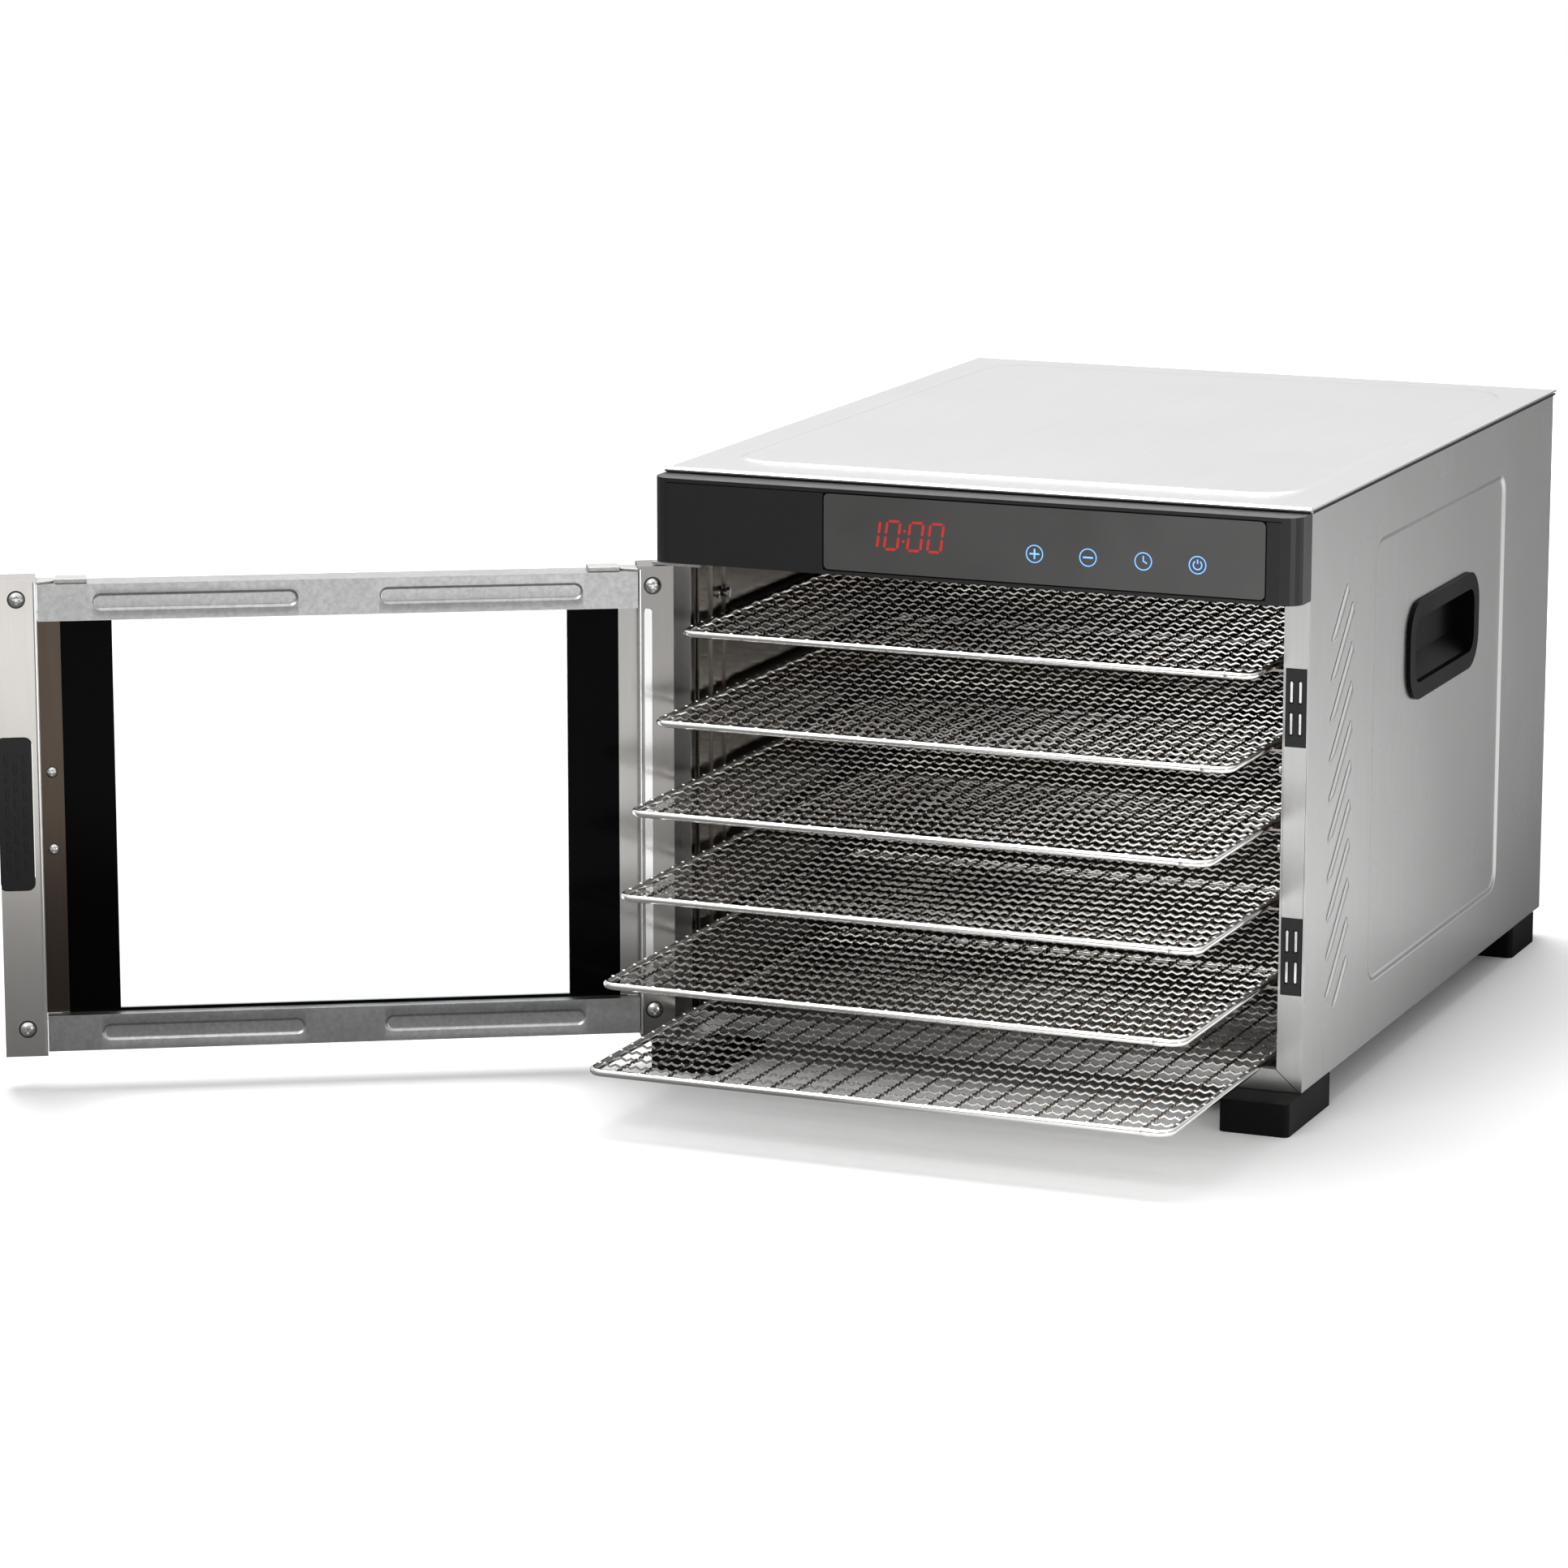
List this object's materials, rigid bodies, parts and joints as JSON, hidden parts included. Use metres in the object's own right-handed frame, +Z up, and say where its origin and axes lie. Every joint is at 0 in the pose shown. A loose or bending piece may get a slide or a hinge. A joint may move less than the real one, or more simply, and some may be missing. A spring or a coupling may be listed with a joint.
{
  "type": "food dehydrator",
  "caption": "Countertop food dehydrator: stainless cabinet, hinged glass door, sliding wire trays, touch controls over the door and a rear fan with a ring heater.",
  "frame": {"origin": "on the floor, under the middle of the overall box with the door and trays as they stand at rest", "axes": "+Z up, +Y from the door to the back of the cabinet, +X to the right seen from the front"},
  "size_m": [0.6442, 0.6388, 0.3133],
  "materials": {
    "body_steel": "brushed",
    "chamber_steel": "smooth rolled",
    "dull_steel": "zinc plated",
    "rail_steel": "satin rolled",
    "screw_steel": "bright plated",
    "tray_wire": "electropolished",
    "black_plastic": "satin moulded",
    "foot_plastic": "fine textured",
    "control_glass": "polished",
    "clear_glass": "polished clear",
    "circuit_board": "solder mask",
    "heater_sheath": "heat darkened",
    "fan_alloy": "pressed"
  },
  "bodies": {
    "root": {"top_cover": "body_steel", "side_panel_right": "body_steel", "side_panel_left": "body_steel", "base_pan": "body_steel", "rear_panel": "body_steel", "handle_cup_right": "black_plastic", "handle_cup_left": "black_plastic", "foot_front_right": "foot_plastic", "foot_front_left": "foot_plastic", "foot_rear_right": "foot_plastic", "foot_rear_left": "foot_plastic", "magnet_catch_lower": "black_plastic", "magnet_catch_upper": "black_plastic", "hinge_plate_upper": "dull_steel", "hinge_plate_lower": "dull_steel", "power_inlet": "black_plastic", "control_bezel": "black_plastic", "control_glass": "control_glass", "display_module": "black_plastic", "control_board": "circuit_board", "liner_right": "chamber_steel", "liner_left": "chamber_steel", "liner_top": "chamber_steel", "tray_rack_right": "chamber_steel", "tray_rack_left": "chamber_steel", "fan_baffle": "chamber_steel", "motor_plate": "chamber_steel", "temperature_sensor": "dull_steel", "heater_element": "heater_sheath", "heater_bracket": "dull_steel", "thermal_cutout": "dull_steel", "fan_motor": "dull_steel", "motor_bracket": "dull_steel"},
    "door": {"door_post_hinge": "body_steel", "door_post_handle": "body_steel", "door_rail_top": "rail_steel", "door_rail_bottom": "rail_steel", "door_glass": "clear_glass", "door_grip": "black_plastic", "hinge_pin_lower": "dull_steel", "hinge_pin_upper": "dull_steel", "door_screw_hinge_bottom": "screw_steel", "door_screw_handle_bottom": "screw_steel", "door_screw_hinge_top": "screw_steel", "door_screw_handle_top": "screw_steel", "grip_screw_lower": "screw_steel", "grip_screw_upper": "screw_steel"},
    "fan": {"fan_impeller": "fan_alloy", "motor_shaft": "dull_steel"},
    "tray_1": {"tray_1": "tray_wire"},
    "tray_2": {"tray_2": "tray_wire"},
    "tray_3": {"tray_3": "tray_wire"},
    "tray_4": {"tray_4": "tray_wire"},
    "tray_5": {"tray_5": "tray_wire"},
    "tray_6": {"tray_6": "tray_wire"}
  },
  "joints": [
    {"name": "door_hinge", "type": "hinge", "parent": "root", "child": "door", "pos_m": [-0.02067, -0.14106, 0.1373], "axis": [0, 0, -1], "range_deg": [-60, 30]},
    {"name": "fan_spin", "type": "hinge", "parent": "root", "child": "fan", "pos_m": [0.14833, 0.24944, 0.14175], "axis": [0, 1, 0], "continuous": true},
    {"name": "tray_1_slide", "type": "slide", "parent": "root", "child": "tray_1", "axis": [0, -1, 0], "range_m": [-0.1505, 0.1895]},
    {"name": "tray_2_slide", "type": "slide", "parent": "root", "child": "tray_2", "axis": [0, -1, 0], "range_m": [-0.1335, 0.2065]},
    {"name": "tray_3_slide", "type": "slide", "parent": "root", "child": "tray_3", "axis": [0, -1, 0], "range_m": [-0.112, 0.228]},
    {"name": "tray_4_slide", "type": "slide", "parent": "root", "child": "tray_4", "axis": [0, -1, 0], "range_m": [-0.098, 0.242]},
    {"name": "tray_5_slide", "type": "slide", "parent": "root", "child": "tray_5", "axis": [0, -1, 0], "range_m": [-0.0675, 0.2725]},
    {"name": "tray_6_slide", "type": "slide", "parent": "root", "child": "tray_6", "axis": [0, -1, 0], "range_m": [-0.034, 0.306]}
  ]
}
